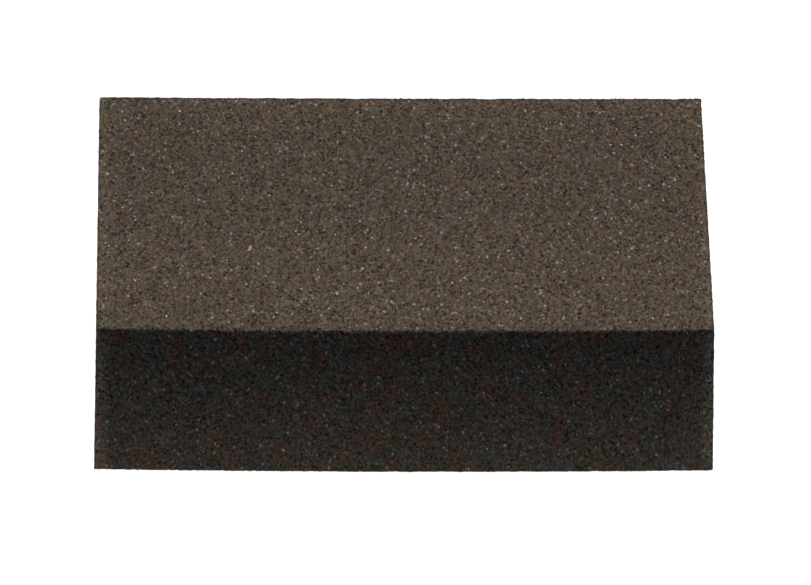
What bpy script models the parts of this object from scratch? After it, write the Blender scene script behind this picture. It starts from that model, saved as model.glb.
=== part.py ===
"""Four-sided sanding block: a soft foam core with abrasive bonded to its four long faces.

The block lies on its underside with +Z up and +X along its length. The origin is the centre of
the underside. The layers are stacked as the block is made: the foam slab gets an adhesive coat
and then grit on its top and bottom, it is slit to width, and the two slit sides are coated the
same way over their full height, so they cover the edges of the top and bottom layers. The block
is cut to length last, which leaves bare foam on both ends.
"""

import bmesh
import bpy

# Driving dimensions, in metres.
BLOCK_LENGTH = 0.098
BLOCK_DEPTH = 0.0694
BLOCK_HEIGHT = 0.0268
ABRASIVE_THICKNESS = 0.0005
ADHESIVE_THICKNESS = 0.0003
LAYER_GAP = 0.0003
EDGE_RADIUS = 0.0004
EDGE_SEGMENTS = 4

# Worked out from the dimensions above: one coated face adds this much outside the foam.
COAT_STACK = LAYER_GAP + ADHESIVE_THICKNESS + LAYER_GAP + ABRASIVE_THICKNESS
CORE_DEPTH = BLOCK_DEPTH - 2 * COAT_STACK
CORE_HEIGHT = BLOCK_HEIGHT - 2 * COAT_STACK
MIDDLE_HEIGHT = BLOCK_HEIGHT / 2

# Each coated face carries these layers, from the foam outwards.
LAYERS = (("adhesive_coat", ADHESIVE_THICKNESS), ("abrasive_coat", ABRASIVE_THICKNESS))

# Linear colour and roughness of each finish.
FINISHES = {
    "foam_core": ((0.115, 0.112, 0.105), 0.95),
    "adhesive_coat": ((0.030, 0.021, 0.015), 0.55),
    "abrasive_coat": ((0.080, 0.061, 0.047), 0.80),
}


def clear_scene():
    """Removes every object, so that the file holds the block and nothing else."""
    for leftover in list(bpy.data.objects):
        bpy.data.objects.remove(leftover, do_unlink=True)


def make_materials():
    """One matt Principled material for each finish, by name."""
    materials = {}
    for name, (colour, roughness) in FINISHES.items():
        material = bpy.data.materials.new(name)
        material.use_nodes = True
        shader = material.node_tree.nodes["Principled BSDF"]
        shader.inputs["Base Color"].default_value = (*colour, 1.0)
        shader.inputs["Roughness"].default_value = roughness
        shader.inputs["Metallic"].default_value = 0.0
        materials[name] = material
    return materials


def new_collection(name):
    """A collection of that name in the scene."""
    collection = bpy.data.collections.new(name)
    bpy.context.scene.collection.children.link(collection)
    return collection


def add_slab(name, size, centre, material, collection):
    """A rectangular slab of that size, with its origin at its own centre."""
    shape = bmesh.new()
    bmesh.ops.create_cube(shape, size=1.0)
    bmesh.ops.scale(shape, vec=size, verts=shape.verts)
    mesh = bpy.data.meshes.new(name)
    shape.to_mesh(mesh)
    shape.free()
    mesh.materials.append(material)
    slab = bpy.data.objects.new(name, mesh)
    slab.location = centre
    collection.objects.link(slab)
    return slab


def round_outer_long_edges(slab, direction):
    """Rounds the two edges along X that lie on the slab's face towards +Y or -Y."""
    mesh = slab.data
    weights = mesh.attributes.new("bevel_weight_edge", "FLOAT", "EDGE")
    for edge in mesh.edges:
        start, end = (mesh.vertices[index].co for index in edge.vertices)
        along_length = abs(end.x - start.x) > BLOCK_LENGTH / 2
        outer = min(start.y * direction, end.y * direction) > 0
        weights.data[edge.index].value = 1.0 if along_length and outer else 0.0
    bevel = slab.modifiers.new("rounded long edges", "BEVEL")
    bevel.limit_method = "WEIGHT"
    bevel.width = EDGE_RADIUS
    bevel.segments = EDGE_SEGMENTS


def layer_spans(foam_face):
    """Name, distance to the inner face and thickness of each layer outside a foam face."""
    inner = foam_face
    for layer, thickness in LAYERS:
        inner += LAYER_GAP
        yield layer, inner, thickness
        inner += thickness


def coat_flat_faces(materials, collection):
    """The layers on the foam's top and bottom, which end at the foam's slit sides."""
    for side, direction in (("top", 1), ("bottom", -1)):
        for layer, inner, thickness in layer_spans(CORE_HEIGHT / 2):
            size = (BLOCK_LENGTH, CORE_DEPTH, thickness)
            centre = (0.0, 0.0, MIDDLE_HEIGHT + direction * (inner + thickness / 2))
            add_slab(f"{side}_{layer}", size, centre, materials[layer], collection)


def coat_slit_sides(materials, collection):
    """The layers on the front and back, which run the block's full height."""
    for side, direction in (("front", -1), ("back", 1)):
        for layer, inner, thickness in layer_spans(CORE_DEPTH / 2):
            size = (BLOCK_LENGTH, thickness, BLOCK_HEIGHT)
            centre = (0.0, direction * (inner + thickness / 2), MIDDLE_HEIGHT)
            slab = add_slab(f"{side}_{layer}", size, centre, materials[layer], collection)
            if layer == "abrasive_coat":
                round_outer_long_edges(slab, direction)


def build():
    """Makes the sanding block."""
    clear_scene()
    materials = make_materials()
    collection = new_collection("sanding_block")
    core_size = (BLOCK_LENGTH, CORE_DEPTH, CORE_HEIGHT)
    core_centre = (0.0, 0.0, MIDDLE_HEIGHT)
    add_slab("foam_core", core_size, core_centre, materials["foam_core"], collection)
    coat_flat_faces(materials, collection)
    coat_slit_sides(materials, collection)


build()
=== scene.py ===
"""The looks of a four-sided sanding block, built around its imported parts.

The block is a slab of foam with grit glued to its four long faces. Its ends are cut, so they show
the foam's cells and the edges of the coats. Everything is in metres, with +Z up and +X along the
block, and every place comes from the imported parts.

The four grit coats are cut from one bed of grains that runs right round the block. Neighbouring
coats share the points along their seam, so no seam shows.
"""

from __future__ import annotations

import logging
import math
from dataclasses import dataclass
from enum import Enum
from typing import Mapping, Sequence, Union

import bpy
import numpy as np
from mathutils import Matrix, Vector


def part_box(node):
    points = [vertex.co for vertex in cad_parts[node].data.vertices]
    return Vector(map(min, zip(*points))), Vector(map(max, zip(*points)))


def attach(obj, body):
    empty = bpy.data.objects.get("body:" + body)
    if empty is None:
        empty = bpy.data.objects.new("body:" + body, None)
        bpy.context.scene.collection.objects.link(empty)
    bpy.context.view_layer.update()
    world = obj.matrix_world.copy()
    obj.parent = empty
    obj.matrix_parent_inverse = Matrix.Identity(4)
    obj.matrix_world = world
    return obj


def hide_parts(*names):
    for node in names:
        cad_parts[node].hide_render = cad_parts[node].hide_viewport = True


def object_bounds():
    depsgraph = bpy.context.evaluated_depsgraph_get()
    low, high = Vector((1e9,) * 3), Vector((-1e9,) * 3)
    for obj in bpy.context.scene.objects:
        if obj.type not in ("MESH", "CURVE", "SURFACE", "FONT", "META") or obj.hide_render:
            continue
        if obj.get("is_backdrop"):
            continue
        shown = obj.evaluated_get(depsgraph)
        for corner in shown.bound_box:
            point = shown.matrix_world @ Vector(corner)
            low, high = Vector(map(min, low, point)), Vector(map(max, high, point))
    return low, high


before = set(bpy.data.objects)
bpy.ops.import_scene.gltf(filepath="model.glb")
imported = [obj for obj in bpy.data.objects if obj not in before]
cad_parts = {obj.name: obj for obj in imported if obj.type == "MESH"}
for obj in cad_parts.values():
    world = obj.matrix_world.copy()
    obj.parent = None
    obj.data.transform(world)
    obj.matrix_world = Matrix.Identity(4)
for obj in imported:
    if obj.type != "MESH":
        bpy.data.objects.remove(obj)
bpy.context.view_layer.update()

LOG = logging.getLogger("sanding_block")
MM = 0.001
BODY = "root"
END_TRIM = 0.2 * MM
Face = tuple[int, ...]
Span = tuple[float, float]


class Side(Enum):
    """The coated faces, in the order that the coated outline meets them."""

    TOP = "top"
    FRONT = "front"
    BOTTOM = "bottom"
    BACK = "back"

    @property
    def is_broad(self) -> bool:
        """Whether this is one of the two broad faces."""
        return self in (Side.TOP, Side.BOTTOM)


# ---------------------------------------------------------------------------------------------
# Shader maths
# ---------------------------------------------------------------------------------------------


class Value:
    """A node's output, with Python's operators on it. Each operator adds a Math node."""

    def __init__(self, surface: Surface, socket: bpy.types.NodeSocket) -> None:
        """Keeps the socket and the surface whose nodes it belongs to."""
        self.surface = surface
        self.socket = socket

    def _maths(self, operation: str, first: Number, second: Number) -> Value:
        """Adds a Math node.

        Args:
            operation: The Math node's operation.
            first: The upper value.
            second: The lower value.

        Returns:
            The node's output.
        """
        settings = {"operation": operation}
        return self.surface.node("ShaderNodeMath", settings, {0: first, 1: second})

    def __add__(self, other: Number) -> Value:
        """This value plus the other."""
        return self._maths("ADD", self, other)

    __radd__ = __add__

    def __sub__(self, other: Number) -> Value:
        """This value minus the other."""
        return self._maths("SUBTRACT", self, other)

    def __rsub__(self, other: Number) -> Value:
        """The other value minus this one."""
        return self._maths("SUBTRACT", other, self)

    def __mul__(self, other: Number) -> Value:
        """This value times the other."""
        return self._maths("MULTIPLY", self, other)

    __rmul__ = __mul__

    def stretched(self, low: float, high: float) -> Value:
        """This value with low moved to 0 and high to 1, and nothing beyond them."""
        inputs = {"Value": self, "From Min": low, "From Max": high}
        return self.surface.node("ShaderNodeMapRange", {"clamp": True}, inputs)

    def between(self, first: float, last: float) -> Value:
        """The number that this value picks between first, at 0, and last, at 1."""
        return self * (last - first) + first


Number = Union[float, Value]
Colour = tuple[float, float, float]
Paint = Union[Colour, Value]


class Surface:
    """One material: a Principled shader and the nodes that feed it."""

    def __init__(self, name: str) -> None:
        """Makes the material and finds its shader.

        Args:
            name: The material's name.
        """
        self.material = bpy.data.materials.new(name)
        self.material.use_nodes = True
        self.tree = self.material.node_tree
        self.shader = self.tree.nodes["Principled BSDF"]

    def node(
        self,
        kind: str,
        settings: Mapping[str, object],
        inputs: Mapping[Union[str, int], object],
        output: Union[str, int] = 0,
    ) -> Value:
        """Adds a node.

        Args:
            kind: The node's type.
            settings: Its properties, set before its sockets. "stops" holds a ramp's stops, each
                a place and a colour.
            inputs: What goes into its sockets: constants, or values to link.
            output: Which of its outputs to give back.

        Returns:
            That output.
        """
        node = self.tree.nodes.new(kind)
        for name, setting in settings.items():
            if name == "stops":
                self._set_stops(node.color_ramp, setting)
            else:
                setattr(node, name, setting)
        for name, given in inputs.items():
            self._feed(node.inputs[name], given)
        return Value(self, node.outputs[output])

    def _set_stops(
        self, ramp: bpy.types.ColorRamp, stops: Sequence[tuple[float, Colour]]
    ) -> None:
        """Gives a ramp its stops.

        Args:
            ramp: The ramp.
            stops: Its stops, each a place from 0 to 1 and a colour.
        """
        while len(ramp.elements) < len(stops):
            ramp.elements.new(1.0)
        for element, (place, colour) in zip(ramp.elements, stops):
            element.position = place
            element.color = (*colour, 1.0)

    def _feed(self, socket: bpy.types.NodeSocket, given: object) -> None:
        """Links a value to a socket, or sets the socket to a constant.

        Args:
            socket: The socket.
            given: The value or the constant.
        """
        if isinstance(given, Value):
            self.tree.links.new(given.socket, socket)
        elif socket.type == "RGBA":
            socket.default_value = (*given, 1.0)
        else:
            socket.default_value = given

    def coordinates(self) -> Value:
        """Places on the piece, in metres."""
        return self.node("ShaderNodeTexCoord", {}, {}, "Object")

    def measure(self, name: str) -> Value:
        """A number that the mesh carries under that name."""
        return self.node("ShaderNodeAttribute", {"attribute_name": name}, {}, "Fac")

    def noise(self, size: float, detail: float = 2.0, roughness: float = 0.5) -> Value:
        """Adds smooth noise.

        Args:
            size: How far apart its lumps are, in metres.
            detail: How many finer layers it has.
            roughness: How strong those layers are.

        Returns:
            The noise, from 0 to 1 and mostly near a half.
        """
        inputs = {
            "Vector": self.coordinates(),
            "Scale": 1.0 / size,
            "Detail": detail,
            "Roughness": roughness,
        }
        return self.node("ShaderNodeTexNoise", {}, inputs, "Fac")

    def ramp(self, factor: Value, stops: Sequence[tuple[float, Colour]]) -> Value:
        """A colour that changes with factor through the stops."""
        return self.node("ShaderNodeValToRGB", {"stops": stops}, {"Fac": factor})

    def mix(self, factor: Number, first: Paint, second: Paint, blend: str = "MIX") -> Value:
        """Blends two colours.

        Args:
            factor: How much of the second colour there is.
            first: The colour at factor 0.
            second: The colour that is blended in.
            blend: The Mix node's blend type.

        Returns:
            The blended colour.
        """
        settings = {"data_type": "RGBA", "blend_type": blend}
        return self.node("ShaderNodeMix", settings, {0: factor, 6: first, 7: second}, 2)

    def scaled(self, colour: Paint, factor: Number) -> Value:
        """A colour made lighter or darker by a factor."""
        settings = {"operation": "SCALE"}
        return self.node("ShaderNodeVectorMath", settings, {0: colour, "Scale": factor})

    def bump(self, height: Value, strength: float, depth: float) -> Value:
        """Adds fine relief to the shading.

        Args:
            height: The relief, from 0 to 1.
            strength: How much of it shows.
            depth: How high 1 is, in metres.

        Returns:
            The bent normal.
        """
        inputs = {"Height": height, "Strength": strength, "Distance": depth}
        return self.node("ShaderNodeBump", {}, inputs)

    def finish(self, **sockets: object) -> bpy.types.Material:
        """Feeds the shader. A socket's name is given with underscores for its spaces.

        Args:
            sockets: What goes into each socket.

        Returns:
            The material.
        """
        for name, given in sockets.items():
            self._feed(self.shader.inputs[name.replace("_", " ")], given)
        return self.material


# ---------------------------------------------------------------------------------------------
# Finishes
# ---------------------------------------------------------------------------------------------


@dataclass(frozen=True)
class GritFinish:
    """Brown mineral grains set in dark resin, with blotches that are strongest on the sides.

    The grains' colours follow their tone; the brightest are pale grains with painted glints. Rust,
    slate and olive are tints that multiply them. Hollows take the dark binder with painted shade,
    and painted light brightens the ends and the front and back of the top.
    """

    # The dark binder in the hollows, darkened further as painted shade.
    pit_binder_and_shade: Colour = (0.012, 0.006, 0.003)
    black_grain: Colour = (0.013, 0.008, 0.004)
    dark_grain: Colour = (0.044, 0.0285, 0.0185)
    grain: Colour = (0.066, 0.048, 0.033)
    pale_grain: Colour = (0.117, 0.0945, 0.0735)
    # Pale grains, brightened further as painted glints.
    bright_grain_and_glint: Colour = (0.29, 0.26, 0.23)
    top_rust: Colour = (1.10, 0.96, 0.91)
    top_slate: Colour = (0.93, 1.02, 1.04)
    side_rust: Colour = (1.52, 0.80, 0.72)
    side_slate: Colour = (0.74, 1.09, 1.47)
    olive: Colour = (1.04, 1.03, 0.84)
    resin: Colour = (0.014, 0.010, 0.007)
    roughness: Span = (0.88, 0.58)
    shine: float = 0.2
    # How much the painted light lightens the grains.
    painted_light_gain: float = 0.13
    binder_and_shade_rises: Span = (0.02, 0.45)
    stain_free_tones: Span = (0.88, 0.96)
    patch_size: float = 2.4 * MM
    top_patches: Span = (0.35, 0.65)
    side_patches: Span = (0.46, 0.76)
    olive_patch_size: float = 3.6 * MM
    olive_patches: Span = (0.45, 0.75)
    fleck_size: float = 0.16 * MM
    fleck_strength: float = 1.3
    crystal_size: float = 0.12 * MM
    crystal_depth: float = 0.03 * MM
    crystal_strength: float = 0.8

    def make(self) -> bpy.types.Material:
        """Makes the finish's nodes.

        Returns:
            The material.
        """
        surface = Surface("grit")
        tone = surface.measure("grain_tone")
        rise = surface.measure("grain_rise")
        resin_showing = surface.measure("bare_resin")
        painted_light = surface.measure("painted_light")
        stops = (
            (0.0, self.black_grain),
            (0.08, self.dark_grain),
            (0.55, self.grain),
            (0.90, self.pale_grain),
            (1.0, self.bright_grain_and_glint),
        )
        flecks = (surface.noise(self.fleck_size, detail=0.0) - 0.5) * self.fleck_strength
        # Painted light lightens the grains at the ends and on the top's front and back.
        grains = surface.scaled(surface.ramp(tone, stops), painted_light * self.painted_light_gain + 1.0 + flecks)
        # Low points take the dark binder, darker still as painted shade in the hollows.
        with_binder_and_shade = surface.mix(rise.stretched(*self.binder_and_shade_rises), self.pit_binder_and_shade, grains)
        stained = 1.0 - tone.stretched(*self.stain_free_tones)
        tinted = surface.mix(stained, with_binder_and_shade, self._blotches(surface), blend="MULTIPLY")
        colour = surface.mix(resin_showing, tinted, self.resin)
        crystals = surface.noise(self.crystal_size, detail=2.0, roughness=0.6)
        return surface.finish(
            Base_Color=colour,
            Roughness=tone.between(*self.roughness),
            Specular_IOR_Level=self.shine,
            Normal=surface.bump(crystals, self.crystal_strength, self.crystal_depth),
        )

    def _blotches(self, surface: Surface) -> Value:
        """Makes the tint of the grit: rust, slate and olive, strong where the mesh says so.

        Args:
            surface: The material that is being made.

        Returns:
            The colour that multiplies the grains' own.
        """
        patches = surface.noise(self.patch_size, detail=2.0)
        on_top = patches.stretched(*self.top_patches)
        faint = surface.mix(on_top, self.top_slate, self.top_rust)
        on_sides = patches.stretched(*self.side_patches)
        strong = surface.mix(on_sides, self.side_slate, self.side_rust)
        tint = surface.mix(surface.measure("blotched"), faint, strong)
        olive = surface.noise(self.olive_patch_size, detail=1.0).stretched(*self.olive_patches)
        return surface.mix(olive, tint, self.olive, blend="MULTIPLY")


@dataclass(frozen=True)
class ResinFinish:
    """Hard brown resin that has soaked into the foam's skin, seen only where it is cut."""

    deep: Colour = (0.010, 0.006, 0.004)
    thin: Colour = (0.048, 0.032, 0.021)
    roughness: Span = (0.45, 0.75)
    streak_size: float = 0.35 * MM
    streak_span: Span = (0.3, 0.7)
    cut_size: float = 0.08 * MM
    cut_depth: float = 0.05 * MM
    cut_strength: float = 0.7

    def make(self) -> bpy.types.Material:
        """Makes the finish's nodes.

        Returns:
            The material.
        """
        surface = Surface("resin")
        streaks = surface.noise(self.streak_size, detail=3.0).stretched(*self.streak_span)
        cuts = surface.noise(self.cut_size, detail=2.0)
        return surface.finish(
            Base_Color=surface.mix(streaks, self.deep, self.thin),
            Roughness=streaks.between(*self.roughness),
            Normal=surface.bump(cuts, self.cut_strength, self.cut_depth),
        )


@dataclass(frozen=True)
class FoamFinish:
    """Charcoal foam: pale rims round open cells, which get darker with depth as painted shade."""

    rim: Colour = (0.155, 0.151, 0.142)
    wall: Colour = (0.088, 0.085, 0.080)
    # Painted shade deep in the cells.
    hollow: Colour = (0.022, 0.021, 0.020)
    roughness: Span = (0.97, 0.91)
    patch_size: float = 9.0 * MM
    patch_brightness: Span = (0.8, 1.2)
    fibre_size: float = 0.16 * MM
    fibre_depth: float = 0.05 * MM
    fibre_strength: float = 0.8
    fibre_contrast: float = 0.35

    def make(self) -> bpy.types.Material:
        """Makes the finish's nodes.

        Returns:
            The material.
        """
        surface = Surface("foam")
        depth = surface.measure("cell_depth")
        fibres = surface.noise(self.fibre_size, detail=2.0, roughness=0.6)
        # Darker with depth into the cells: painted shade.
        stops = ((0.0, self.rim), (0.15, self.wall), (0.55, self.hollow))
        cells = surface.ramp(depth + (fibres - 0.5) * self.fibre_contrast, stops)
        patches = surface.noise(self.patch_size, detail=2.0)
        return surface.finish(
            Base_Color=surface.scaled(cells, patches.between(*self.patch_brightness)),
            Roughness=patches.between(*self.roughness),
            Normal=surface.bump(fibres, self.fibre_strength, self.fibre_depth),
        )


# ---------------------------------------------------------------------------------------------
# Shape
# ---------------------------------------------------------------------------------------------


@dataclass(frozen=True)
class Layout:
    """Where one layer ends and the next begins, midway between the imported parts.

    The reach is half the block's length, less a trim that leaves the rough ends room.
    """

    half_length: float
    reach: float
    half_depth: float
    height: float
    foam_half_depth: float
    foam_low: float
    foam_high: float
    grit_half_depth: float
    grit_low: float
    grit_high: float

    @classmethod
    def from_parts(cls) -> Layout:
        """Reads the layers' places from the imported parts.

        Returns:
            The layout.
        """
        low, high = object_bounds()
        foam_low, foam_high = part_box("foam_core")
        back_low, back_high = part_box("back_adhesive_coat")
        top_low, top_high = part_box("top_adhesive_coat")
        bottom_low, bottom_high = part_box("bottom_adhesive_coat")
        back_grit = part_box("back_abrasive_coat")[0]
        top_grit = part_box("top_abrasive_coat")[0]
        bottom_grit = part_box("bottom_abrasive_coat")[1]
        return cls(
            half_length=(high[0] - low[0]) / 2,
            reach=(high[0] - low[0]) / 2 - END_TRIM,
            half_depth=(high[1] - low[1]) / 2,
            height=high[2] - low[2],
            foam_half_depth=(foam_high.y + back_low.y) / 2,
            foam_low=(foam_low.z + bottom_high.z) / 2,
            foam_high=(foam_high.z + top_low.z) / 2,
            grit_half_depth=(back_high.y + back_grit.y) / 2,
            grit_low=(bottom_low.z + bottom_grit.z) / 2,
            grit_high=(top_high.z + top_grit.z) / 2,
        )


@dataclass(frozen=True)
class Handling:
    """How a soft block that has been cut and packed differs from a true box."""

    layout: Layout
    front_bow: float = 0.6 * MM
    back_hollow: float = 0.18 * MM
    top_shortfall: float = 0.38 * MM

    def shape(self, points: np.ndarray) -> np.ndarray:
        """Bows the long sides to the front and leaves the top a little shorter than the base.

        Args:
            points: Points on a true box, with x, y and z last.

        Returns:
            The same points on the handled block.
        """
        layout = self.layout
        x, y, z = points[..., 0], points[..., 1], points[..., 2]
        nearness_to_front = 0.5 - y / (2 * layout.half_depth)
        nearness_to_end = (x / layout.half_length) ** 2
        set_back = self.front_bow * nearness_to_end * nearness_to_front
        set_forward = self.back_hollow * (1 - nearness_to_end) * (1 - nearness_to_front)
        shrink = 1.0 - (self.top_shortfall / layout.half_length) * z / layout.height
        return np.stack((x * shrink, y + set_back - set_forward, z), axis=-1)


@dataclass(frozen=True)
class Outline:
    """The coated outline across the block: a rectangle with small round corners.

    A place on it is a distance along it, from the top's back seam towards the front.
    """

    half_depth: float
    height: float
    seam: float
    radius: float

    @property
    def broad_run(self) -> float:
        """The straight length of the top."""
        return 2 * (self.half_depth - self.radius)

    @property
    def side_run(self) -> float:
        """The straight length of the front."""
        return self.height - 2 * self.radius

    @property
    def corner_run(self) -> float:
        """The length round one corner."""
        return math.pi / 2 * self.radius

    @property
    def around(self) -> float:
        """The whole length."""
        return 2 * (self.broad_run + self.side_run) + 4 * self.corner_run

    def at(self, distance: np.ndarray) -> tuple[np.ndarray, np.ndarray]:
        """Finds places on the outline.

        Args:
            distance: How far along it they are.

        Returns:
            The places and the outward directions there, with y and z last.
        """
        # A straight run joins two corner centres, and a corner's run turns round one. The top's run
        # comes first and last, because the outline starts within it.
        runs = (self.broad_run, self.corner_run, self.side_run, self.corner_run)
        ends = np.cumsum((-self.half_depth + self.radius + self.seam, *runs, *runs, self.broad_run))
        back, low = self.half_depth - self.radius, self.radius
        front, high = -back, self.height - self.radius
        y = np.interp(distance, ends, [back] + [front] * 4 + [back] * 4 + [front])
        z = np.interp(distance, ends, [high] * 3 + [low] * 4 + [high] * 3)
        quarter_turns = np.interp(distance, ends, (1, 1, 2, 2, 3, 3, 4, 4, 5, 5))
        angle = quarter_turns * math.pi / 2
        outward = np.stack((np.cos(angle), np.sin(angle)), axis=-1)
        return np.stack((y, z), axis=-1) + self.radius * outward, outward


@dataclass(frozen=True)
class Steps:
    """How finely the coats are divided. A coarse line lies on every so many fine ones."""

    along_block: int = 448
    across_broad: int = 212
    across_side: int = 116
    coarse: int = 4

    @property
    def around(self) -> int:
        """Steps right round the block."""
        return 2 * (self.across_broad + self.across_side)

    def first_row(self, side: Side) -> int:
        """Finds where a side starts.

        Args:
            side: The side.

        Returns:
            The number of its first row.
        """
        starts = {
            Side.TOP: 0,
            Side.FRONT: self.across_broad,
            Side.BOTTOM: self.across_broad + self.across_side,
            Side.BACK: 2 * self.across_broad + self.across_side,
        }
        return starts[side]

    def across(self, side: Side) -> int:
        """Steps across a side."""
        return self.across_broad if side.is_broad else self.across_side


@dataclass(frozen=True)
class GrainBed:
    """The grains that cover the outline, as a grid of points that are in turn peak and hollow.

    Each grain is a peak with the facets that fall from it to the hollows round it.
    """

    outline: Outline
    steps: Steps
    reach: float
    relief: float
    swell: float
    jitter: float = 0.33
    end_unevenness: float = 0.12 * MM
    peak_rises: Span = (0.55, 1.0)
    lost_grains: float = 0.10
    lost_grain_rise: float = 0.40
    hollow_rises: Span = (0.18, 0.36)
    filled_hollows: float = 0.20
    filling: float = 0.30
    deep_hollows: float = 0.16
    deep_hollow_rise: float = 0.10
    usual_tone: float = 0.50
    tone_spread: float = 0.16
    tone_limits: Span = (0.1, 0.90)
    black_grains: float = 0.06
    bright_and_glint_grains: float = 0.025
    bright_and_glint_tones: Span = (0.85, 1.0)
    back_blotches: float = 0.4
    fade_below: float = 0.55
    chip_width: float = 0.7 * MM
    chip_depth: float = 0.19 * MM
    chip_spacing: float = 1.3 * MM
    chip_rarity: int = 3
    front_chips: float = 0.2
    wave_count: int = 7
    wave_turns: tuple[int, int] = (2, 14)
    wave_lengths: Span = (2.0, 8.0)
    seed: int = 20

    def scatter(self) -> Grains:
        """Places every grain.

        Returns:
            The bed of grains.
        """
        dice = np.random.default_rng(self.seed)
        shape = (self.steps.around, self.steps.along_block + 1)
        rows, columns = np.indices(shape)
        is_peak = (rows + columns) % 2 == 0
        peaks = dice.uniform(*self.peak_rises, shape)
        peaks[dice.random(shape) < self.lost_grains] *= self.lost_grain_rise
        hollows = dice.uniform(*self.hollow_rises, shape)
        hollows[dice.random(shape) < self.filled_hollows] += self.filling
        hollows[dice.random(shape) < self.deep_hollows] *= self.deep_hollow_rise
        rise = np.where(is_peak, peaks, hollows)
        tone = np.clip(dice.normal(self.usual_tone, self.tone_spread, shape), *self.tone_limits)
        chance = dice.random(shape)
        # The brightest tones are pale grains with painted glints.
        bright_and_glint_tone = dice.uniform(*self.bright_and_glint_tones, shape)
        tone = np.where(chance < self.black_grains, 0.0, tone)
        tone = np.where(chance > 1.0 - self.bright_and_glint_grains, bright_and_glint_tone, tone)
        row_pitch = self.outline.around / self.steps.around
        along = self._row_distances()[:, None] + self._shift(dice, shape) * row_pitch
        points, blotched = self._place(dice, along, rise)
        return Grains(points, rise, tone, blotched, is_peak)

    def _row_distances(self) -> np.ndarray:
        """Spreads each side's rows evenly between its seams.

        Returns:
            How far along the outline each row lies.
        """
        steps, outline = self.steps, self.outline
        broad = 2 * outline.seam
        side = outline.around / 2 - broad
        corners = np.cumsum((0, broad, side, broad, side))
        row_ends = np.cumsum(
            (0, steps.across_broad, steps.across_side, steps.across_broad, steps.across_side)
        )
        return np.interp(np.arange(steps.around), row_ends, corners)

    def _shift(self, dice: np.random.Generator, shape: tuple[int, int]) -> np.ndarray:
        """How far each point strays, as a share of the pitch."""
        return dice.uniform(-self.jitter, self.jitter, shape)

    def _place(
        self, dice: np.random.Generator, along: np.ndarray, rise: np.ndarray
    ) -> tuple[np.ndarray, np.ndarray]:
        """Turns outline distances and rises into points.

        Args:
            dice: The source of chance.
            along: How far along the outline each point lies.
            rise: How high each point stands, from 0 to 1.

        Returns:
            The points, with x, y and z last, and how strong the blotches are there.
        """
        column_pitch = 2 * self.reach / self.steps.along_block
        x = np.linspace(-self.reach, self.reach, self.steps.along_block + 1)
        x = x[None, :] + self._shift(dice, rise.shape) * column_pitch
        ends = dice.uniform(0.0, self.end_unevenness, (2, self.steps.around))
        x[:, 0] = -self.reach + ends[0]
        x[:, -1] = self.reach - ends[1]
        places, outward = self.outline.at(along)
        waves = self._waves(dice, along, x)
        stand = (rise - 0.5) * self.relief + waves * self.swell
        stand -= self._chips(dice, x, places) * self.chip_depth
        spots = places + outward * stand[..., None]
        height_share = places[..., 1] / self.outline.height
        at_side = np.abs(outward[..., 0]) * np.where(outward[..., 0] > 0, self.back_blotches, 1.0)
        blotched = at_side * (1.0 - self.fade_below * (1.0 - height_share))
        return np.concatenate((x[..., None], spots), axis=-1), blotched

    def _chips(self, dice: np.random.Generator, x: np.ndarray, places: np.ndarray) -> np.ndarray:
        """Chips grit off along the four long edges, less often at the front.

        Args:
            dice: The source of chance.
            x: How far along the block each point lies.
            places: Where it lies on the outline, with y and z last.

        Returns:
            How far the grit has come off there, from 0 to 1.
        """
        outline = self.outline
        y, z = places[..., 0], places[..., 1]
        edge_gap = np.maximum(outline.half_depth - np.abs(y), np.minimum(z, outline.height - z))
        nearness = np.clip(1.0 - edge_gap / self.chip_width, 0.0, 1.0)
        knots = np.arange(-self.reach, self.reach + self.chip_spacing, self.chip_spacing)
        chips = np.zeros_like(x)
        for at_back in (False, True):
            for at_top in (False, True):
                here = ((y > 0) == at_back) & ((z > outline.height / 2) == at_top)
                wear = dice.uniform(0.0, 1.0, len(knots)) ** self.chip_rarity
                wear *= 1.0 if at_back else self.front_chips
                chips = np.where(here, np.interp(x, knots, wear), chips)
        return chips * nearness**2

    def _waves(self, dice: np.random.Generator, along: np.ndarray, x: np.ndarray) -> np.ndarray:
        """Adds up slow swells of the whole coat, which meet themselves round the block.

        Args:
            dice: The source of chance.
            along: How far along the outline each point lies.
            x: How far along the block it lies.

        Returns:
            The height of the swells there, from -1 to 1.
        """
        total = np.zeros_like(x)
        for _ in range(self.wave_count):
            turns = int(dice.integers(*self.wave_turns))
            lengths = dice.uniform(*self.wave_lengths) * dice.choice((-1, 1))
            phase = dice.uniform(0, 2 * math.pi)
            cycles = turns * along / self.outline.around + lengths * x / (2 * self.reach)
            total += np.sin(2 * math.pi * cycles + phase)
        return total / self.wave_count


@dataclass(frozen=True)
class Grains:
    """A bed of grains: one row of points for each step round the block.

    A point rises from 0 to 1. Its tone runs from 0, black, to 1, bright, and it is blotched from
    0, faintly, to 1, strongly.
    """

    points: np.ndarray
    rise: np.ndarray
    tone: np.ndarray
    blotched: np.ndarray
    is_peak: np.ndarray

    def rows(self, first: int, count: int) -> Grains:
        """The rows of one coat, with the seam rows at both its edges."""
        chosen = np.arange(first, first + count + 1) % len(self.points)
        return Grains(**{name: grid[chosen] for name, grid in vars(self).items()})


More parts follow.
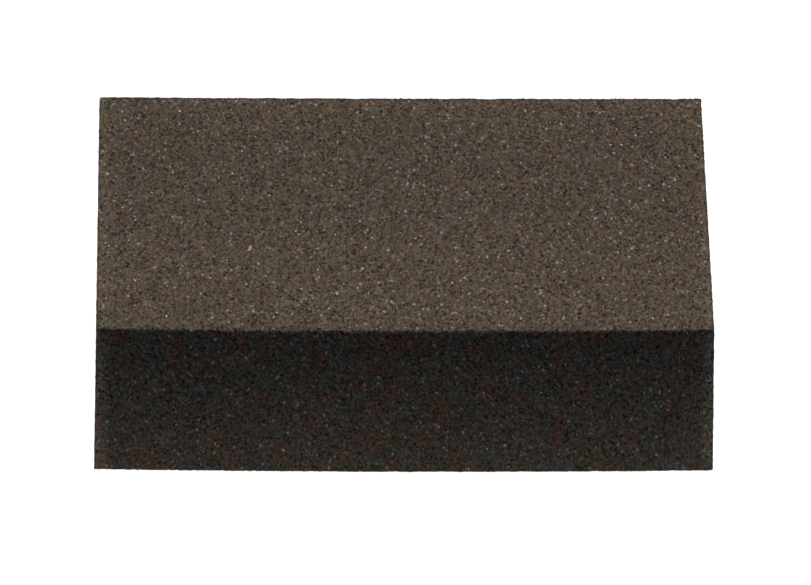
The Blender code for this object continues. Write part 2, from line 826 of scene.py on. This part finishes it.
class Shell:
    """A closed skin made of a fine outer grid, a coarse inner grid and the rims between them."""

    def __init__(
        self,
        outer: np.ndarray,
        inner: np.ndarray,
        row_marks: Sequence[int],
        column_marks: Sequence[int],
    ) -> None:
        """Joins the grids.

        Args:
            outer: The outer points, by row and column, with x, y and z last.
            inner: The inner points in the same way.
            row_marks: The outer row that each inner row faces.
            column_marks: The outer column that each inner column faces.
        """
        self.outer_ids = np.arange(outer[..., 0].size).reshape(outer.shape[:2])
        self.inner_ids = self.outer_ids.size + np.arange(inner[..., 0].size).reshape(
            inner.shape[:2]
        )
        self.points = np.concatenate((outer.reshape(-1, 3), inner.reshape(-1, 3)))
        self.row_marks = list(row_marks)
        self.column_marks = list(column_marks)

    @staticmethod
    def quads(ids: np.ndarray) -> np.ndarray:
        """The four corners of each cell of a grid, in order round the cell."""
        corners = (ids[:-1, :-1], ids[1:, :-1], ids[1:, 1:], ids[:-1, 1:])
        return np.stack(corners, axis=-1)

    def facets(self, other_way: np.ndarray) -> np.ndarray:
        """Splits the outer grid into triangles.

        Args:
            other_way: For each cell, whether it is split between its second and fourth corners
                instead of its first and third.

        Returns:
            Two triangles for each cell.
        """
        first, second, third, fourth = np.moveaxis(self.quads(self.outer_ids), -1, 0)
        one = np.stack((first, second, np.where(other_way, fourth, third)), axis=-1)
        two = np.stack((np.where(other_way, second, first), third, fourth), axis=-1)
        return np.stack((one, two), axis=2).reshape(-1, 3)

    def inner_faces(self) -> list[Face]:
        """Turns the inner grid's faces to look the other way.

        Returns:
            The faces.
        """
        turned = self.quads(self.inner_ids)[..., ::-1].reshape(-1, 4)
        return [tuple(quad) for quad in turned.tolist()]

    def rims(self) -> list[Face]:
        """Closes the four edges, with one face from each coarse step to the fine ones it faces.

        Returns:
            The faces.
        """
        outer, inner = self.outer_ids, self.inner_ids
        rows, columns = self.row_marks, self.column_marks
        edges = (
            (outer[0], inner[0], columns, False),
            (outer[-1], inner[-1], columns, True),
            (outer[:, 0], inner[:, 0], rows, True),
            (outer[:, -1], inner[:, -1], rows, False),
        )
        faces: list[Face] = []
        for fine, coarse, marks, turned in edges:
            for place in range(len(marks) - 1):
                fine_run = fine[marks[place] : marks[place + 1] + 1].tolist()
                run = fine_run + [int(coarse[place + 1]), int(coarse[place])]
                faces.append(tuple(run[::-1] if turned else run))
        return faces


def make_piece(
    name: str,
    points: np.ndarray,
    faces: Sequence[Face],
    point_measures: Mapping[str, np.ndarray],
    face_measures: Mapping[str, np.ndarray],
    material: bpy.types.Material,
) -> bpy.types.Object:
    """Makes one piece of the block, facet by facet.

    Args:
        name: The piece's name.
        points: Its points.
        faces: The points of each face, in order.
        point_measures: Numbers for the material, one for each point.
        face_measures: Numbers for the material, one for each face.
        material: Its material.

    Returns:
        The piece.
    """
    mesh = bpy.data.meshes.new(name)
    mesh.from_pydata(points.tolist(), [], faces)
    for domain, measures in (("POINT", point_measures), ("FACE", face_measures)):
        for label, numbers in measures.items():
            attribute = mesh.attributes.new(label, "FLOAT", domain)
            attribute.data.foreach_set("value", np.asarray(numbers, np.float32))
    mesh.materials.append(material)
    mesh.validate()
    piece = bpy.data.objects.new(name, mesh)
    bpy.context.scene.collection.objects.link(piece)
    return piece


def settle(piece: bpy.types.Object, node: str) -> None:
    """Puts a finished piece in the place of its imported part.

    Args:
        piece: The piece.
        node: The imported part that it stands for.
    """
    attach(piece, BODY)
    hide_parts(node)
    LOG.info("%s: %d faces", piece.name, len(piece.data.polygons))


# ---------------------------------------------------------------------------------------------
# The block
# ---------------------------------------------------------------------------------------------


@dataclass
class Coating:
    """The coats on the four long faces: resin on the foam, and grit on the resin."""

    layout: Layout
    handling: Handling
    steps: Steps = Steps()
    corner_radius: float = 0.16 * MM
    relief: float = 0.23 * MM
    swell: float = 0.02 * MM
    boundary_wave: float = 0.07 * MM
    end_roughness: float = 0.15 * MM
    cut_bumps: Span = (-1.0, 0.5)
    merged_grains: float = 0.22
    cut_rise: float = 0.5
    cut_tone: float = 0.5
    hidden_rise: float = 0.3
    hidden_tone: float = 0.2
    worn_width: float = 0.26 * MM
    dark_edge_width: float = 0.80 * MM
    bare_reach: float = 1.2
    bare_chances: Span = (0.6, 1.2)
    # Painted light on the top by distance from the front: brighter towards the front and along the
    # back edge.
    top_painted_light: tuple[Span, ...] = (
        (-34 * MM, 1.2),
        (-20 * MM, 1.0),
        (-10 * MM, 0.8),
        (0.0, 0.0),
        (24 * MM, 0.0),
        (32 * MM, 0.8),
        (34 * MM, 2.4),
    )
    # A painted highlight towards both cut ends, strongest on the front.
    end_light_width: float = 2.8 * MM
    end_light_fall: float = 1.5
    end_painted_light: float = 3.9
    front_end_painted_light: float = 12.0
    seed: int = 7

    def __post_init__(self) -> None:
        """Lays the bed of grains and the boundary between resin and grit."""
        layout = self.layout
        inset = self.relief / 2 + self.swell
        self.outline = Outline(
            half_depth=layout.half_depth - inset,
            height=layout.height - 2 * inset,
            seam=layout.foam_half_depth,
            radius=self.corner_radius,
        )
        bed = GrainBed(self.outline, self.steps, layout.reach, self.relief, self.swell)
        self.grains = bed.scatter()
        self.grains.points[..., 2] += inset
        self.dice = np.random.default_rng(self.seed)
        self.boundaries = {side: self._boundary(side) for side in Side}

    def build(self) -> None:
        """Makes the eight coats."""
        grit = GritFinish().make()
        resin = ResinFinish().make()
        for side in Side:
            settle(self._resin_coat(side, resin), f"{side.value}_adhesive_coat")
            settle(self._grit_coat(side, grit), f"{side.value}_abrasive_coat")

    def _coarse_rows(self, side: Side) -> list[int]:
        """The rows of a side, counted from its seam, that the coarse grids follow."""
        return list(range(0, self.steps.across(side) + 1, self.steps.coarse))

    def _flat_grid(self, side: Side, half_depth: float, low: float, high: float) -> np.ndarray:
        """Makes a coarse flat grid under one side's grit.

        Args:
            side: The side.
            half_depth: How far the front and back grids lie from the middle.
            low: Where the bottom grid lies, and where the front and back grids end.
            high: Where the top grid lies, and where the front and back grids start.

        Returns:
            Its points, by row and column.
        """
        rows = np.linspace(0.0, 1.0, len(self._coarse_rows(side)))
        reach = self.layout.reach
        x = np.linspace(-reach, reach, self.steps.along_block // self.steps.coarse + 1)
        seam = self.layout.foam_half_depth
        paths = {
            Side.TOP: (seam - 2 * seam * rows, np.full_like(rows, high)),
            Side.BOTTOM: (2 * seam * rows - seam, np.full_like(rows, low)),
            Side.FRONT: (np.full_like(rows, -half_depth), high + (low - high) * rows),
            Side.BACK: (np.full_like(rows, half_depth), low + (high - low) * rows),
        }
        y, z = paths[side]
        grid = np.empty((len(rows), len(x), 3))
        grid[..., 0] = x[None, :]
        grid[..., 1] = y[:, None]
        grid[..., 2] = z[:, None]
        return grid

    def _boundary(self, side: Side) -> np.ndarray:
        """Makes the wavy boundary between one side's resin and its grit, flat at its seams.

        Args:
            side: The side.

        Returns:
            Its points, by row and column.
        """
        layout = self.layout
        if side.is_broad:
            grid = self._flat_grid(side, 0.0, layout.grit_low, layout.grit_high)
        else:
            grid = self._side_boundary(side)
        wave = self.dice.uniform(-self.boundary_wave, self.boundary_wave, grid.shape[:2])
        flat_rows = 1 if side.is_broad else 2
        wave[:flat_rows] = 0.0
        wave[-flat_rows:] = 0.0
        grid[..., 2 if side.is_broad else 1] += wave
        return grid

    def _side_boundary(self, side: Side) -> np.ndarray:
        """Makes the boundary on the front or back, which turns in over the resin's edges.

        Args:
            side: The front or the back.

        Returns:
            Its points, by row and column.
        """
        layout = self.layout
        grid = self._flat_grid(side, layout.grit_half_depth, layout.grit_low, layout.grit_high)
        edge_z = (grid[0, 0, 2], grid[-1, 0, 2])
        grid[1:-1, :, 2] = np.linspace(*edge_z, len(grid) - 2)[:, None]
        seam_y = math.copysign(layout.foam_half_depth, grid[0, 0, 1])
        grid[0, :, 1] = seam_y
        grid[-1, :, 1] = seam_y
        return grid

    def _grit_coat(self, side: Side, material: bpy.types.Material) -> bpy.types.Object:
        """Makes one side's grit, from its seam to the next.

        Args:
            side: The side.
            material: The grit's material.

        Returns:
            The piece.
        """
        first = self.steps.first_row(side)
        grains = self.grains.rows(first, self.steps.across(side))
        inner = self.boundaries[side]
        outer = self._with_cut_ends(grains.points, inner)
        columns = outer.shape[1]
        inside_marks = [mark + 1 for mark in self._inside_columns()]
        shell = Shell(outer, inner, self._coarse_rows(side), [0, *inside_marks, columns - 1])
        rise = np.pad(grains.rise, ((0, 0), (1, 1)), constant_values=self.cut_rise)
        tone = np.pad(grains.tone, ((0, 0), (1, 1)), constant_values=self.cut_tone)
        is_peak = np.pad(grains.is_peak, ((0, 0), (1, 1)), mode="reflect")
        peak_first = is_peak[:-1, :-1]
        merged = self.dice.random(peak_first.shape) < self.merged_grains
        facets = shell.facets(peak_first ^ merged)
        first_owner = np.where(peak_first, tone[:-1, :-1], tone[1:, :-1])
        second_owner = np.where(peak_first, tone[1:, 1:], tone[:-1, 1:])
        facet_tone = np.stack((first_owner, second_owner), axis=-1).ravel()
        hidden = shell.inner_faces() + shell.rims()
        faces = [tuple(facet) for facet in facets.tolist()] + hidden
        face_tone = np.concatenate((facet_tone, np.full(len(hidden), self.hidden_tone)))
        inner_count = inner[..., 0].size
        point_rise = np.concatenate((rise.ravel(), np.full(inner_count, self.hidden_rise)))
        blotched = np.pad(grains.blotched, ((0, 0), (1, 1)), mode="edge")
        point_blotched = np.concatenate((blotched.ravel(), np.zeros(inner_count)))
        return make_piece(
            f"{side.value}_grit",
            self.handling.shape(shell.points),
            faces,
            {
                "grain_rise": point_rise,
                "blotched": point_blotched,
                "bare_resin": self._resin_showing(shell.points),
                "painted_light": self._paint_light(shell.points),
            },
            {"grain_tone": face_tone},
            material,
        )

    def _inside_columns(self) -> range:
        """The columns between the ends that the coarse grids follow."""
        return range(self.steps.coarse, self.steps.along_block, self.steps.coarse)

    def _with_cut_ends(self, outer: np.ndarray, inner: np.ndarray) -> np.ndarray:
        """Adds a rough line of points halfway down the cut at both ends.

        Args:
            outer: The coat's outer points.
            inner: The coat's coarse inner points.

        Returns:
            The outer points with one more column at each end.
        """
        rows = np.arange(len(outer))
        marks = np.arange(len(inner)) * self.steps.coarse
        cuts = []
        for column, inward in ((0, 1.0), (-1, -1.0)):
            under = np.stack(
                [np.interp(rows, marks, inner[:, column, axis]) for axis in range(3)], axis=-1
            )
            cut = 0.5 * (outer[:, column] + under)
            bump = self.dice.uniform(*self.cut_bumps, len(rows)) * self.end_roughness
            cut[:, 0] = -inward * (self.layout.reach + bump)
            cuts.append(cut[:, None])
        return np.concatenate((cuts[0], outer, cuts[1]), axis=1)

    def _resin_showing(self, points: np.ndarray) -> np.ndarray:
        """Wears grains off the cut ends, and darkens the back's long edges to resin.

        Args:
            points: The points.

        Returns:
            How much of the resin's colour each point shows, from 0 to 1.
        """
        x, y, z = np.moveaxis(points, -1, 0)
        end_gap = (self.layout.reach - np.abs(x)) / self.worn_width
        behind = self.outline.half_depth - y
        middle = self.layout.height / 2
        beside = self.outline.height / 2 - np.abs(z - middle)
        # A dark band of resin colour along the back's long edges.
        edge_gap = np.maximum(behind, beside) / self.dark_edge_width
        gap = np.minimum(end_gap, edge_gap)
        chance = self.dice.uniform(*self.bare_chances, len(points))
        return np.clip(self.bare_reach - gap, 0.0, 1.0) * np.clip(chance, 0.0, 1.0)

    def _paint_light(self, points: np.ndarray) -> np.ndarray:
        """Paints light on the ends, and on the front and back of the top.

        Args:
            points: The points.

        Returns:
            How much painted light each point gets, from 0.
        """
        layout = self.layout
        x, y, z = np.moveaxis(points, -1, 0)
        on_top = z > layout.grit_high
        # Painted light on the top, brighter towards its front and along its back edge.
        spread = np.interp(y, *zip(*self.top_painted_light))
        # Painted highlight towards both cut ends, strongest on the front.
        near_end = np.clip(1.0 - (layout.reach - np.abs(x)) / self.end_light_width, 0.0, 1.0)
        on_front = ~on_top & (y < -layout.grit_half_depth)
        most = np.where(on_front, self.front_end_painted_light, self.end_painted_light)
        return np.where(on_top, spread, 0.0) + near_end**self.end_light_fall * most

    def _resin_coat(self, side: Side, material: bpy.types.Material) -> bpy.types.Object:
        """Makes one side's resin, between the foam and the grit.

        Args:
            side: The side.
            material: The resin's material.

        Returns:
            The piece.
        """
        layout = self.layout
        boundary = self.boundaries[side]
        if side.is_broad:
            outer = boundary
            inner = self._flat_grid(side, 0.0, layout.foam_low, layout.foam_high)
        else:
            outer = boundary[1:-1]
            inner = self._flat_grid(
                side, layout.foam_half_depth, layout.grit_low, layout.grit_high
            )[: len(outer)]
            inner[..., 2] = outer[..., 2]
        outer, inner = self._torn_ends(outer), self._torn_ends(inner)
        every_row = range(len(outer))
        every_column = range(outer.shape[1])
        shell = Shell(outer, inner, every_row, every_column)
        facets = shell.facets(self.dice.random((len(outer) - 1, outer.shape[1] - 1)) < 0.5)
        faces = [tuple(facet) for facet in facets.tolist()]
        faces += shell.inner_faces() + shell.rims()
        return make_piece(
            f"{side.value}_resin", self.handling.shape(shell.points), faces, {}, {}, material
        )

    def _torn_ends(self, grid: np.ndarray) -> np.ndarray:
        """Tears a grid's ends as the blade has left them.

        Args:
            grid: The grid's points, by row and column.

        Returns:
            The points with uneven first and last columns.
        """
        torn = grid.copy()
        for column in (0, -1):
            depth = self.dice.uniform(0.0, self.end_roughness, len(grid))
            torn[:, column, 0] -= np.sign(torn[:, column, 0]) * depth
        return torn


@dataclass
class FoamCore:
    """The foam slab. Its two cut ends show open cells; the rest lies under the coats."""

    layout: Layout
    handling: Handling
    across: int = 436
    up: int = 160
    coarse: int = 4
    rings: int = 24
    cell_pitch: float = 0.72 * MM
    cell_jitter: float = 0.80
    wall: float = 0.02 * MM
    cell_slope: float = 1.4
    cell_openings: Span = (0.3, 1.0)
    deepest: float = 0.40 * MM
    skin: float = 0.03 * MM
    seed: int = 11

    def build(self) -> None:
        """Makes the slab."""
        dice = np.random.default_rng(self.seed)
        left, left_depth = self._cut_end(dice, -1.0)
        right, right_depth = self._cut_end(dice, 1.0)
        size = (self.up + 1) * (self.across + 1)
        ids = np.arange(size).reshape(self.up + 1, self.across + 1)
        right_rim = self._rim(ids)
        left_rim = self._rim(ids + size)
        marks = right_rim[:: self.coarse]
        rings = self._ring_points(right.reshape(-1, 3)[marks], left.reshape(-1, 3)[marks])
        ring_ids = 2 * size + np.arange(rings[..., 0].size).reshape(rings.shape[:2])
        quads = Shell.quads(ids).reshape(-1, 4)
        faces = [tuple(quad) for quad in quads[:, ::-1].tolist()]
        faces += [tuple(quad) for quad in (quads + size).tolist()]
        faces += self._sleeve(right_rim, left_rim, ring_ids)
        points = np.concatenate(
            (right.reshape(-1, 3), left.reshape(-1, 3), rings.reshape(-1, 3))
        )
        depth = np.concatenate(
            (right_depth.ravel(), left_depth.ravel(), np.zeros(rings[..., 0].size))
        )
        slab = make_piece(
            "foam_slab",
            self.handling.shape(points),
            faces,
            {"cell_depth": depth},
            {},
            FoamFinish().make(),
        )
        settle(slab, "foam_core")

    def _cut_end(
        self, dice: np.random.Generator, direction: float
    ) -> tuple[np.ndarray, np.ndarray]:
        """Makes one cut end, with the cells that the blade opened.

        Args:
            dice: The source of chance.
            direction: 1 for the end at +X and -1 for the other.

        Returns:
            The end's points by row and column, and how deep in a cell each one is, from 0 to 1.
        """
        layout = self.layout
        y = np.linspace(-layout.foam_half_depth, layout.foam_half_depth, self.across + 1)
        z = np.linspace(layout.foam_low, layout.foam_high, self.up + 1)
        z_grid, y_grid = np.meshgrid(z, y, indexing="ij")
        from_wall, openness = self._cells(dice, y_grid, z_grid)
        bowl = np.clip(from_wall - self.wall, 0.0, None) * self.cell_slope
        depth = np.minimum(bowl, self.deepest * openness)
        fray = dice.uniform(0.0, self.skin, depth.shape)
        x = direction * (layout.reach - fray - depth)
        points = np.stack((x, y_grid, z_grid), axis=-1)
        return points, depth / self.deepest

    def _cells(
        self, dice: np.random.Generator, y: np.ndarray, z: np.ndarray
    ) -> tuple[np.ndarray, np.ndarray]:
        """Divides the foam into cells: each place belongs to the nearest of many centres.

        Args:
            dice: The source of chance.
            y: Places across the cut end.
            z: Their heights.

        Returns:
            How far each place is from its cell's wall, and how open that cell is, from 0 to 1.
        """
        search = 2
        across = (y - y.min()) / self.cell_pitch
        up = (z - z.min()) / self.cell_pitch
        column = np.floor(across).astype(int) + search
        row = np.floor(up).astype(int) + search
        lattice = (row.max() + search + 1, column.max() + search + 1)
        shift = dice.uniform(-self.cell_jitter, self.cell_jitter, (2, *lattice))
        opened = dice.uniform(*self.cell_openings, lattice)
        nearest = np.full(y.shape, np.inf)
        second = np.full(y.shape, np.inf)
        openness = np.zeros(y.shape)
        for row_step in range(-search, search + 1):
            for column_step in range(-search, search + 1):
                place = (row + row_step, column + column_step)
                gap_up = place[0] + 0.5 - search + shift[0][place] - up
                gap_across = place[1] + 0.5 - search + shift[1][place] - across
                gap = np.hypot(gap_up, gap_across)
                second = np.minimum(second, np.maximum(gap, nearest))
                openness = np.where(gap < nearest, opened[place], openness)
                nearest = np.minimum(nearest, gap)
        return (second - nearest) / 2 * self.cell_pitch, openness

    @staticmethod
    def _rim(ids: np.ndarray) -> np.ndarray:
        """The points round a grid's edge, in order: low edge, far edge, high edge, near edge."""
        return np.concatenate((ids[0, :-1], ids[:-1, -1], ids[-1, :0:-1], ids[:0:-1, 0]))

    def _ring_points(self, right: np.ndarray, left: np.ndarray) -> np.ndarray:
        """Makes rings of points along the slab, between its two ends.

        Args:
            right: The coarse points round the end at +X.
            left: The coarse points round the other end.

        Returns:
            The rings, from +X to -X.
        """
        shares = np.linspace(0.0, 1.0, self.rings + 1)[1:-1, None, None]
        return right[None] * (1 - shares) + left[None] * shares

    def _sleeve(
        self, right_rim: np.ndarray, left_rim: np.ndarray, rings: np.ndarray
    ) -> list[Face]:
        """Makes the slab's four long faces.

        Args:
            right_rim: The fine points round the end at +X.
            left_rim: The fine points round the other end.
            rings: The rings between them.

        Returns:
            The faces.
        """
        faces: list[Face] = []
        count = rings.shape[1]
        for place in range(count):
            after = (place + 1) % count
            run = np.arange(place * self.coarse, (place + 1) * self.coarse + 1) % len(right_rim)
            near = right_rim[run].tolist()
            far = left_rim[run].tolist()
            faces.append((*near, int(rings[0, after]), int(rings[0, place])))
            for ring, following in zip(rings[:-1], rings[1:]):
                corners = (ring[place], ring[after], following[after], following[place])
                faces.append(tuple(int(corner) for corner in corners))
            faces.append((int(rings[-1, place]), int(rings[-1, after]), *far[::-1]))
        return faces


# ---------------------------------------------------------------------------------------------
# The studio
# ---------------------------------------------------------------------------------------------


@dataclass
class Studio:
    """A pale floor with a light of its own, soft light from overhead, a dark card and a long lens.

    Strengths are the suns' own. Angles are in degrees: softness is how wide a sun looks, an azimuth
    is counted from the block's front towards +X, and an elevation from the floor.
    """

    layout: Layout
    floor_size: float = 16.0
    floor_colour: Colour = (0.86, 0.86, 0.86)
    overhead_strength: float = 4.16
    overhead_softness: float = 12.0
    overhead_elevation: float = 65.0
    wash_strength: float = 4.05
    fill_strength: float = 0.4
    fill_softness: float = 40.0
    fill_azimuth: float = 115.0
    fill_elevation: float = 35.0
    card_gap: float = 0.034
    card_width: float = 0.22
    card_height: float = 0.5
    elevation: float = 32.83
    azimuth: float = -1.03
    roll: float = 0.69
    distance: float = 2.095
    sensor_width: float = 36.0
    focal_length: float = 583.7
    aim_right: float = 0.56 * MM
    aim_up: float = -1.52 * MM

    def build(self) -> None:
        """Sets the scene up round the block."""
        bpy.context.scene.view_settings.view_transform = "Standard"
        self._camera()
        floor = self._floor()
        self._dark_card()
        self._backdrop()
        behind = self._towards(180.0, self.overhead_elevation)
        overhead = self._sun("overhead", self.overhead_strength, self.overhead_softness, behind)
        straight_up = self._towards(0.0, 90.0)
        wash = self._sun("floor_wash", self.wash_strength, self.overhead_softness, straight_up)
        self._share_out(overhead, wash, floor)
        for name, azimuth in (("left_fill", -self.fill_azimuth), ("right_fill", self.fill_azimuth)):
            beside = self._towards(azimuth, self.fill_elevation)
            self._sun(name, self.fill_strength, self.fill_softness, beside)
        LOG.info("studio: floor, dark card, four lights and camera")

    @staticmethod
    def _towards(azimuth: float, elevation: float) -> Vector:
        """Finds the direction from the block to a viewpoint.

        Args:
            azimuth: Degrees round the block from its front, towards +X.
            elevation: Degrees above the floor.

        Returns:
            A unit vector.
        """
        turn, lift = math.radians(azimuth), math.radians(elevation)
        return Vector(
            (math.sin(turn) * math.cos(lift), -math.cos(turn) * math.cos(lift), math.sin(lift))
        )

    def _camera(self) -> None:
        """Adds the camera and makes it the scene's own."""
        back = self._towards(self.azimuth, self.elevation)
        right = Vector((0.0, 0.0, 1.0)).cross(back).normalized()
        up = back.cross(right)
        turn = Matrix.Rotation(math.radians(self.roll), 3, back)
        right, up = turn @ right, turn @ up
        middle = Vector((0.0, 0.0, self.layout.height / 2))
        place = middle + back * self.distance + right * self.aim_right + up * self.aim_up
        data = bpy.data.cameras.new("camera")
        data.sensor_width = self.sensor_width
        data.lens = self.focal_length
        camera = bpy.data.objects.new("camera", data)
        axes = Matrix((right, up, back)).transposed().to_4x4()
        camera.matrix_world = Matrix.Translation(place) @ axes
        bpy.context.scene.collection.objects.link(camera)
        bpy.context.scene.camera = camera

    def _sheet(self, name: str, material: bpy.types.Material) -> bpy.types.Object:
        """Adds a flat square with sides of 1 m, marked as part of the stage.

        Args:
            name: Its name.
            material: Its material.

        Returns:
            The square.
        """
        mesh = bpy.data.meshes.new(name)
        corners = [(-0.5, -0.5, 0.0), (0.5, -0.5, 0.0), (0.5, 0.5, 0.0), (-0.5, 0.5, 0.0)]
        mesh.from_pydata(corners, [], [(0, 1, 2, 3)])
        mesh.materials.append(material)
        sheet = bpy.data.objects.new(name, mesh)
        bpy.context.scene.collection.objects.link(sheet)
        sheet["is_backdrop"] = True
        return sheet

    def _floor(self) -> bpy.types.Object:
        """Adds the floor that the block lies on.

        Returns:
            The floor.
        """
        surface = Surface("floor")
        paint = surface.finish(Base_Color=self.floor_colour, Roughness=0.95, Specular_IOR_Level=0.0)
        floor = self._sheet("floor", paint)
        floor.scale = (self.floor_size, self.floor_size, 1.0)
        return floor

    def _dark_card(self) -> None:
        """Stands a black card in front of the block, which keeps the front in shade.

        The card stops light that has bounced, but not the lights' own or the camera's view.
        """
        surface = Surface("black_card")
        paint = surface.finish(Base_Color=(0.0, 0.0, 0.0), Roughness=1.0, Specular_IOR_Level=0.0)
        card = self._sheet("dark_card", paint)
        card.scale = (self.card_width, self.card_height, 1.0)
        card.rotation_euler = (math.radians(90), 0.0, 0.0)
        card.location = (0.0, -self.layout.half_depth - self.card_gap, self.card_height / 2)
        card.visible_camera = False
        card.visible_shadow = False

    def _backdrop(self) -> None:
        """Makes everything beyond the floor a plain white that casts no light."""
        world = bpy.data.worlds.new("backdrop")
        world.use_nodes = True
        background = world.node_tree.nodes["Background"]
        background.inputs["Color"].default_value = (1.0, 1.0, 1.0, 1.0)
        background.inputs["Strength"].default_value = 1.0
        world.cycles_visibility.diffuse = False
        world.cycles_visibility.glossy = False
        bpy.context.scene.world = world

    @staticmethod
    def _share_out(
        overhead: bpy.types.Object, wash: bpy.types.Object, floor: bpy.types.Object
    ) -> None:
        """Keeps the overhead light off the floor, and gives the floor an even light of its own.

        Args:
            overhead: The light for the block.
            wash: The light for the floor, which nothing else blocks or receives.
            floor: The floor.
        """
        floor_alone = bpy.data.collections.new("floor_alone")
        floor_alone.objects.link(floor)
        wash.light_linking.receiver_collection = floor_alone
        wash.light_linking.blocker_collection = floor_alone
        not_floor = bpy.data.collections.new("not_floor")
        not_floor.objects.link(floor)
        not_floor.collection_objects[0].light_linking.link_state = "EXCLUDE"
        overhead.light_linking.receiver_collection = not_floor

    @staticmethod
    def _sun(name: str, strength: float, softness: float, towards: Vector) -> bpy.types.Object:
        """Adds a distant soft light.

        Args:
            name: The light's name.
            strength: Its strength.
            softness: How wide it looks from the block, in degrees.
            towards: The direction from the block to it.

        Returns:
            The light.
        """
        data = bpy.data.lights.new(name, "SUN")
        data.energy = strength
        data.angle = math.radians(softness)
        light = bpy.data.objects.new(name, data)
        light.rotation_euler = towards.to_track_quat("Z", "Y").to_euler()
        bpy.context.scene.collection.objects.link(light)
        return light


def main() -> None:
    """Builds the studio and the block."""
    logging.basicConfig(level=logging.INFO, format="%(name)s: %(message)s")
    layout = Layout.from_parts()
    handling = Handling(layout)
    Studio(layout).build()
    FoamCore(layout, handling).build()
    Coating(layout, handling).build()


if __name__ == "__main__":
    main()
